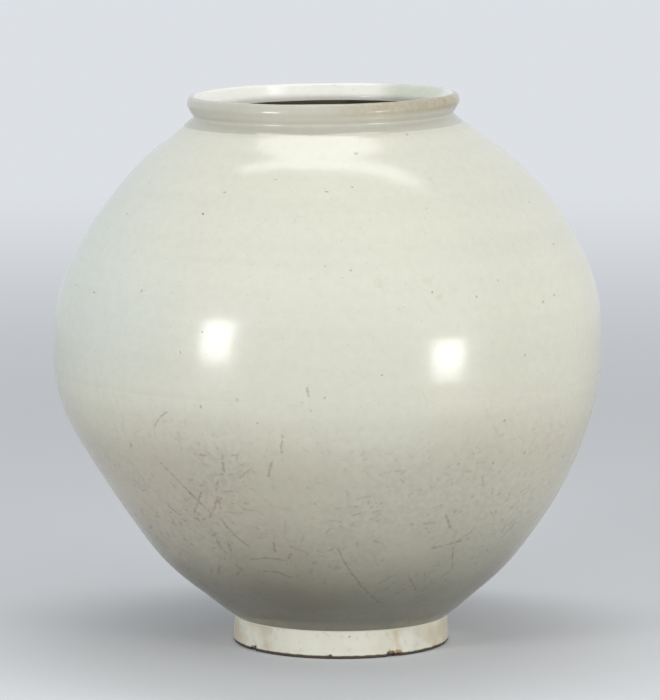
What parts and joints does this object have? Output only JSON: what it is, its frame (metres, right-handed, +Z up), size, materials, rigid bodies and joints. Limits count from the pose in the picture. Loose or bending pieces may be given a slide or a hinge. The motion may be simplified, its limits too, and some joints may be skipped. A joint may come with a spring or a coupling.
{
  "type": "korean moon jar",
  "caption": "Large, nearly round white porcelain jar of two luted bowls, with a short rolled mouth and a low turned foot.",
  "frame": {"origin": "middle of the box's base, on the table, under the middle of the belly", "axes": "+Z up from the table to the mouth; the jar's foot stands off towards +X; -Y is the front that the picture shows"},
  "size_m": [0.4075, 0.4074, 0.4115],
  "materials": {
    "white_glaze": "glossy off-white glaze with a faint green-grey tinge",
    "foot_glaze": "glossy off-white glaze, thin and buff towards the bare tread",
    "porcelain_slip": "fired porcelain slip under the glaze"
  },
  "bodies": {
    "root": {"foot_ring": "foot_glaze", "foot_slip": "porcelain_slip", "lower_bowl": "white_glaze", "belly_slip": "porcelain_slip", "upper_bowl": "white_glaze", "neck_slip": "porcelain_slip", "mouth_rim": "white_glaze"}
  },
  "joints": []
}
